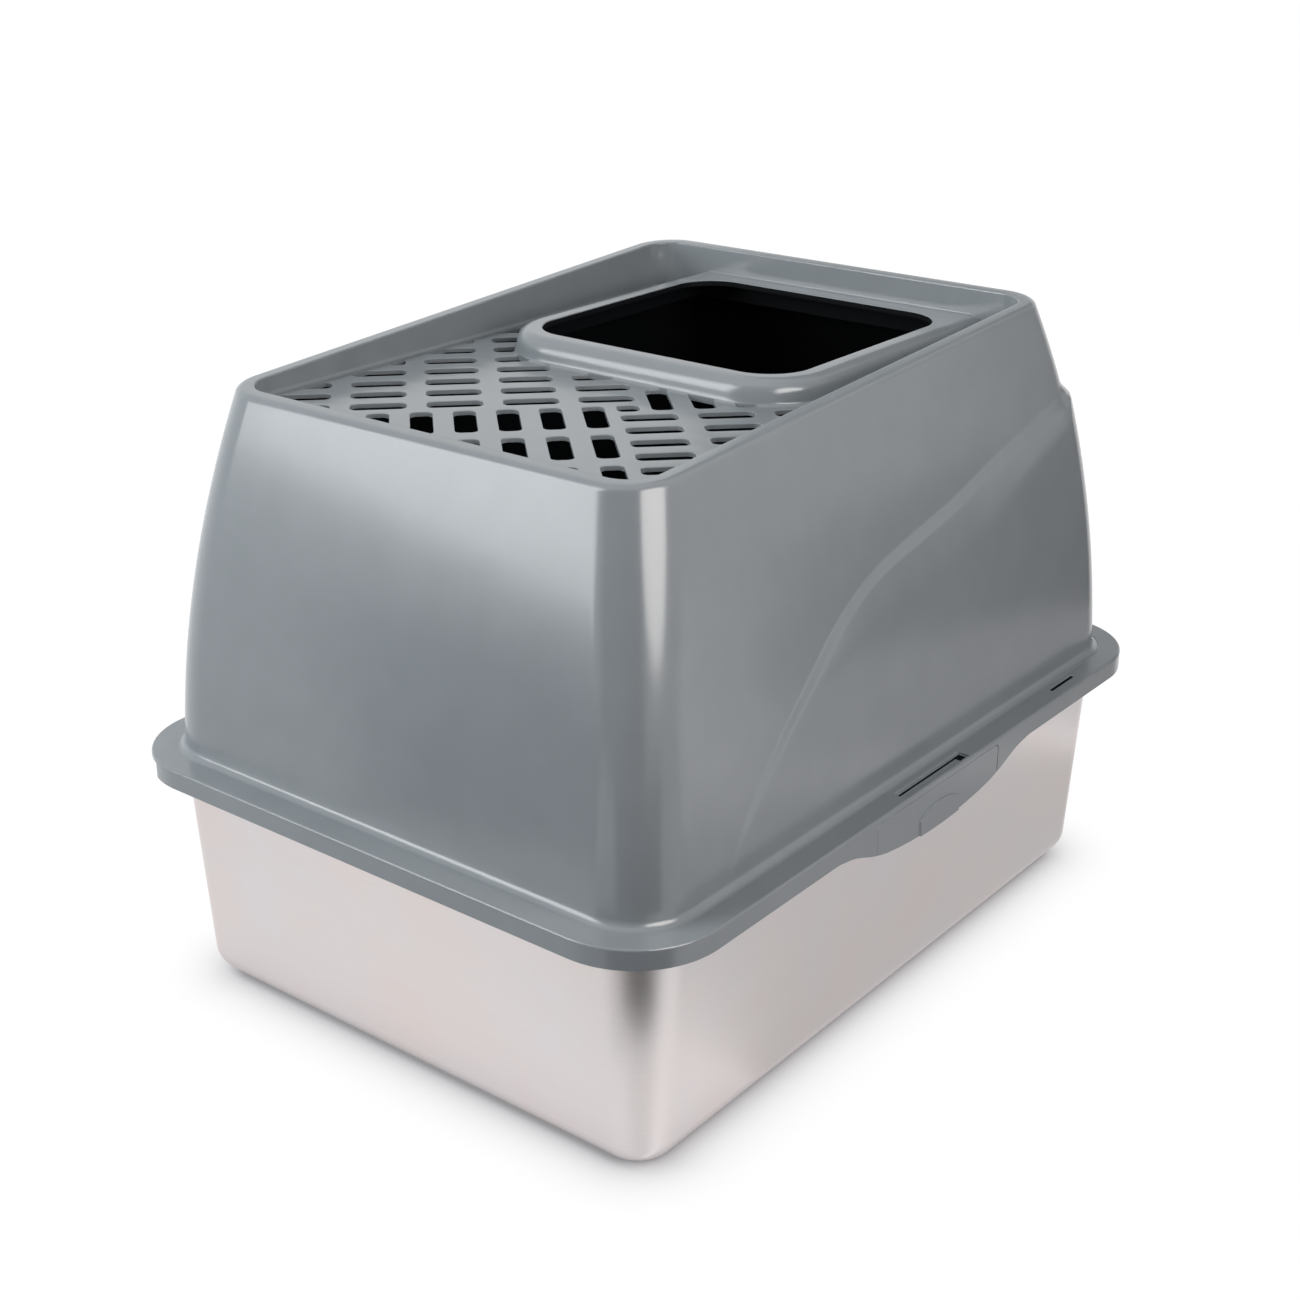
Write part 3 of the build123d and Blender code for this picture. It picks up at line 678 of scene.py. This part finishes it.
# Ring of the entry: drafted outside, rounded shoulder, hollow underneath. It runs straight back into
# the rear wall of the recess.
HOLE_HALF = (88.7 * MM, 85.4 * MM)
HOLE_CENTRE_Y = 70.0 * MM
HOLE_RADIUS = 26.0 * MM
COLLAR_TOP = 349.4 * MM
COLLAR_ROUND = 8.0 * MM
COLLAR_REARWARD = 60.0 * MM
COLLAR_OUT = 16.2 * MM
COLLAR_DRAFT_ANGLE = 9
COLLAR_DRAFT = math.tan(math.radians(COLLAR_DRAFT_ANGLE))
COLLAR_LIP = 3.4 * MM
COLLAR_FOOT_OUT = COLLAR_OUT - WALL * COLLAR_DRAFT + DECK_FILLET * 0.85    # where its fillet meets the deck
BELOW_DECK, ABOVE_COLLAR = 0.325, 0.36


def hole_outline(grown, rearward=0.0):
    """Half sizes and radius of the entry's outline, grown all round and then rearwards."""
    return (HOLE_HALF[0] + grown, HOLE_HALF[1] + grown + rearward / 2), HOLE_RADIUS + grown


def cut_rear(y):
    """Cut off what stands behind y and close the cut."""
    bpy.ops.mesh.select_all(action="SELECT")
    bpy.ops.mesh.bisect(plane_co=(0, y, 0), plane_no=(0, 1, 0), use_fill=True, clear_outer=True)


size, radius = hole_outline(COLLAR_FOOT_OUT, COLLAR_REARWARD)
collar = rounded_plate("collar", size, radius, DECK_TOP - BURIED, HOLE_CENTRE_Y + COLLAR_REARWARD / 2,
                       steps=20, side_cuts=(11,), end_cuts=(11,))
step_up(BURIED)
bend(DECK_FILLET, 90, COLLAR_DRAFT_ANGLE, 4, 1)
ends = (COLLAR_ROUND + DECK_FILLET) * (1 - math.sin(math.radians(COLLAR_DRAFT_ANGLE)))
rise = (COLLAR_TOP - DECK_TOP - ends) / 3
for i in range(3):
    step_in(rise * COLLAR_DRAFT, rise)
bend(COLLAR_ROUND, COLLAR_DRAFT_ANGLE, 90, 6, 1)
cut_rear(RECESS_REAR + WALL / 2)
close_edit(collar)
combine(hood, collar, "UNION")
size, radius = hole_outline(COLLAR_OUT - WALL, COLLAR_REARWARD)
hollow = rounded_plate("hollow", size, radius, BELOW_DECK, HOLE_CENTRE_Y + COLLAR_REARWARD / 2, steps=12)
step_up(DECK_TOP - WALL - BELOW_DECK)
rise = COLLAR_TOP - COLLAR_LIP - DECK_TOP + WALL
step_in(rise * COLLAR_DRAFT, rise)
cut_rear(RECESS_REAR)
close_edit(hollow)
# The hollow's faces take the painted shade of the inside.
combine(hood, hollow, "DIFFERENCE", inside)


def prism(name, half, radius, low, high, centre=(0, 0), turn=0, steps=6, ease=0.0, level=0.0):
    """Closed upright cutter with rounded corners, turned about the vertical; it can ease one edge."""
    cutter = rounded_plate(name, half, radius, low, steps=steps)
    if ease:
        step_up(level - ease - low)
        grown, risen = 0.0, 0.0
        for angle in (30, 60, 90):
            now = ease * (1 - math.cos(math.radians(angle)))
            bpy.ops.mesh.extrude_region_move()
            bpy.ops.transform.resize(value=[(size + now) / (size + grown) for size in half] + [1],
                                     center_override=(0, 0, 0))
            up = ease * math.sin(math.radians(angle))
            bpy.ops.transform.translate(value=(0, 0, up - risen))
            grown, risen = now, up
        low = level
    step_up(high - low)
    close_edit(cutter)
    cutter.data.transform(Matrix.Translation((*centre, 0)) @ Matrix.Rotation(math.radians(turn), 4, "Z"))
    return cutter


size, radius = hole_outline(0)
entry = prism("entry", size, radius, BELOW_DECK, ABOVE_COLLAR, (0, HOLE_CENTRE_Y), steps=16)
# The entry's cut wall takes the painted shade of the inside.
combine(hood, entry, "DIFFERENCE", inside)

# Drain slots: four fields of rounded slots on lines at 45 degrees, which meet like a pinwheel round a
# short slot. They end beside the walls and the entry's ring, and a slot with hardly any length left is
# not cut.
SLOT_WIDTH, SLOT_LENGTH, LONG_SLOT_LENGTH = 11.5 * MM, 29.0 * MM, 39.0 * MM
SLOT_RADIUS, SLOT_EASE = 3.8 * MM, 0.5 * MM
SLOT_PITCH, SLOT_COLUMN_PITCH, LONG_SLOT_PITCH = 22.1 * MM, 39.7 * MM, 50.8 * MM
SLOT_CENTRE = (-27.3 * MM, -72.4 * MM)
SLOT_MARGIN, FIELD_RADIUS, BEHIND_COLLAR = 4.0 * MM, 12 * MM, 20 * MM
LEAST_OPENING = 11.5 * MM * MM
# Bottom and top of the cutters, each taller than the one that it works on.
SLOT_HEIGHTS, FIELD_HEIGHTS, CLEAR_HEIGHTS = (0.330, 0.338), (0.328, 0.340), (0.32, 0.35)
SLOTS_SIDE, SLOTS_FRONT, SLOTS_REAR = 0.16, -0.22, 0.20     # a slot centred beyond these misses the deck
# The first slot of each field, from the middle of the pinwheel along and across the slanted lines.
SHORT_LEFT, SHORT_RIGHT = (-9.3 * MM, 18.8 * MM), (9.2 * MM, -18.0 * MM)
LONG_LEFT, LONG_RIGHT = (-18.1 * MM, -14.0 * MM), (18.0 * MM, 14.4 * MM)
ROWS, SHORT_COLUMNS, LONG_COLUMNS = 12, 5, 6

places = {"short": [], "long": [], "stub": [(0, 0)]}
for row in range(ROWS):
    for column in range(SHORT_COLUMNS):
        u, v = column * SLOT_COLUMN_PITCH, row * SLOT_PITCH
        places["short"].append((SHORT_LEFT[0] - u, SHORT_LEFT[1] + v))
        places["short"].append((SHORT_RIGHT[0] + u, SHORT_RIGHT[1] - v))
    for column in range(LONG_COLUMNS):
        u, v = row * SLOT_PITCH, column * LONG_SLOT_PITCH
        places["long"].append((LONG_LEFT[0] - u, LONG_LEFT[1] - v))
        places["long"].append((LONG_RIGHT[0] + u, LONG_RIGHT[1] + v))
slot_halves = {"short": (SLOT_LENGTH / 2, SLOT_WIDTH / 2), "long": (SLOT_WIDTH / 2, LONG_SLOT_LENGTH / 2),
               "stub": (SLOT_WIDTH / 2, SLOT_WIDTH / 2)}
turned = Matrix.Rotation(math.radians(45), 4, "Z")
cutters = []
for kind, spots in places.items():
    model = prism("slot", slot_halves[kind], SLOT_RADIUS, *SLOT_HEIGHTS, ease=SLOT_EASE, level=DECK_TOP)
    for u, v in spots:
        spot = turned @ Vector((SLOT_CENTRE[0] + u, SLOT_CENTRE[1] + v, 0))
        if abs(spot.x) <= SLOTS_SIDE and SLOTS_FRONT < spot.y < SLOTS_REAR:
            cutter = bpy.data.objects.new("slot", model.data.copy())
            bpy.context.scene.collection.objects.link(cutter)
            cutter.data.transform(Matrix.Translation(spot) @ turned)
            cutters.append(cutter)
    bpy.data.objects.remove(model)
bpy.ops.object.select_all(action="DESELECT")
for cutter in cutters:
    cutter.select_set(True)
bpy.context.view_layer.objects.active = cutters[0]
bpy.ops.object.join()
slots = bpy.context.object

half = (RECESS_HALF_WIDTH - SLOT_MARGIN, (RECESS_REAR - RECESS_FRONT) / 2 - SLOT_MARGIN)
field = prism("field", half, FIELD_RADIUS, *FIELD_HEIGHTS, (0, (RECESS_REAR + RECESS_FRONT) / 2))
size, radius = hole_outline(COLLAR_OUT, 2 * BEHIND_COLLAR)
keep_clear = prism("keep_clear", size, radius, *CLEAR_HEIGHTS, (0, HOLE_CENTRE_Y + BEHIND_COLLAR))
combine(field, keep_clear, "DIFFERENCE")
combine(slots, field, "INTERSECT")
bpy.ops.object.mode_set(mode="EDIT")
select_only("FACE", lambda face: face.normal.z > 0.99 and face.calc_area() < LEAST_OPENING)
bpy.ops.mesh.select_linked()
bpy.ops.mesh.delete(type="VERT")
close_edit(slots)
combine(hood, slots, "DIFFERENCE")

# Openings in the brim: a window over each latch with a slit and a hole in it, a slit behind it, the gap
# round the latch, and the corner of the skirt that is left open at the front left.
WINDOW_HALF, WINDOW_X, WINDOW_DEPTH = (3.5 * MM, 33 * MM), 183.5 * MM, 1.5 * MM
SLITS = [       # half size, x, y
    ((0.7 * MM, 32 * MM), 181.9 * MM, 0),
    ((2.6 * MM, 3.0 * MM), 183.6 * MM, 29.2 * MM),
    ((1.0 * MM, 13.5 * MM), 181.0 * MM, 152 * MM),
]
SLIT_DEPTH, ABOVE_BRIM = 2.2 * MM, 0.146
GAP_HALF, GAP_RADIUS, GAP_THICKNESS = (62.65 * MM, 31.15 * MM), 3.75 * MM, 4 * MM
GAP_X, GAP_Z = 186.25 * MM, 110 * MM
NOTCH_HALF, NOTCH_HEIGHTS = (39.6 * MM, 19.8 * MM), (0.1198, 0.142)
for side in (1, -1):
    window = prism("window", WINDOW_HALF, 0.6 * MM, BRIM_TOP - WINDOW_DEPTH, ABOVE_BRIM,
                   (side * WINDOW_X, 0), steps=2)
    combine(hood, window, "DIFFERENCE")
    for half, x, y in SLITS:
        slit = prism("slit", half, 0.4 * MM, BRIM_TOP - SLIT_DEPTH, ABOVE_BRIM, (side * x, y), steps=2)
        # The slit's cut walls take the painted shade of the inside.
        combine(hood, slit, "DIFFERENCE", inside)
    gap = prism("latch_gap", GAP_HALF, GAP_RADIUS, 0.0, GAP_THICKNESS)      # drawn flat, then stood up
    upright = Matrix(((0, 0, side, 0), (side, 0, 0, 0), (0, 1, 0, 0), (0, 0, 0, 1)))
    gap.data.transform(Matrix.Translation((side * GAP_X, 0, GAP_Z)) @ upright)
    combine(hood, gap, "DIFFERENCE")
notch = prism("notch", NOTCH_HALF, 0.5 * MM, *NOTCH_HEIGHTS, (-BRIM_HALF[0], -BRIM_HALF[1]),
              turn=45, steps=2)
combine(hood, notch, "DIFFERENCE")

# Last, the sharp edges of the openings are eased.
BRIM_EASE, COLLAR_EASE = 0.3 * MM, 0.9 * MM
FLAT = 2e-5                # metres that a vertex of a flat face may be off its height


def ease_edges(piece, height, size, steps):
    """Round the sharp top edges of the openings in a flat face at a height."""
    close_edit(piece)
    bpy.ops.object.mode_set(mode="EDIT")

    def sharp(edge):
        tops = sorted(abs(face.normal.z) for face in edge.link_faces)
        return (all(abs(v.co.z - height) < FLAT for v in edge.verts) and len(tops) == 2
                and tops[0] < 0.1 and tops[1] > 0.99)

    select_only("EDGE", sharp)
    bpy.ops.mesh.bevel(offset=size, segments=steps, affect="EDGES")
    close_edit(piece)


ease_edges(hood, BRIM_TOP, BRIM_EASE, 1)
ease_edges(hood, COLLAR_TOP, COLLAR_EASE, 3)
smooth(hood)
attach(hood, "hood")
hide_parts("hood")

# ---------------------------------------------------------------- latches
# One on each long side: the middle of the skirt, cut free of the brim so that it flexes outwards.
# Its edges are slightly rounded, as the mould leaves them.
CLIP_ROUND = 0.35 * MM
for name in ("latch_right", "latch_left"):
    clip = bpy.data.objects.new(name + "_clip", frame["nodes"][name].data.copy())
    clip.data.name = clip.name
    bpy.context.scene.collection.objects.link(clip)
    close_edit(clip)
    bpy.ops.object.mode_set(mode="EDIT")
    bpy.ops.mesh.select_all(action="SELECT")
    bpy.ops.mesh.remove_doubles(threshold=NEAR)
    bpy.ops.mesh.dissolve_limited(angle_limit=math.radians(1))
    bpy.ops.mesh.select_all(action="SELECT")
    bpy.ops.mesh.normals_make_consistent(inside=False)
    apply_modifier(clip, "BEVEL", width=CLIP_ROUND, segments=2, limit_method="ANGLE",
                   angle_limit=math.radians(35))
    clip.data.materials.clear()
    clip.data.materials.append(plastic)
    smooth(clip, 40)
    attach(clip, name)
    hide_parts(name)
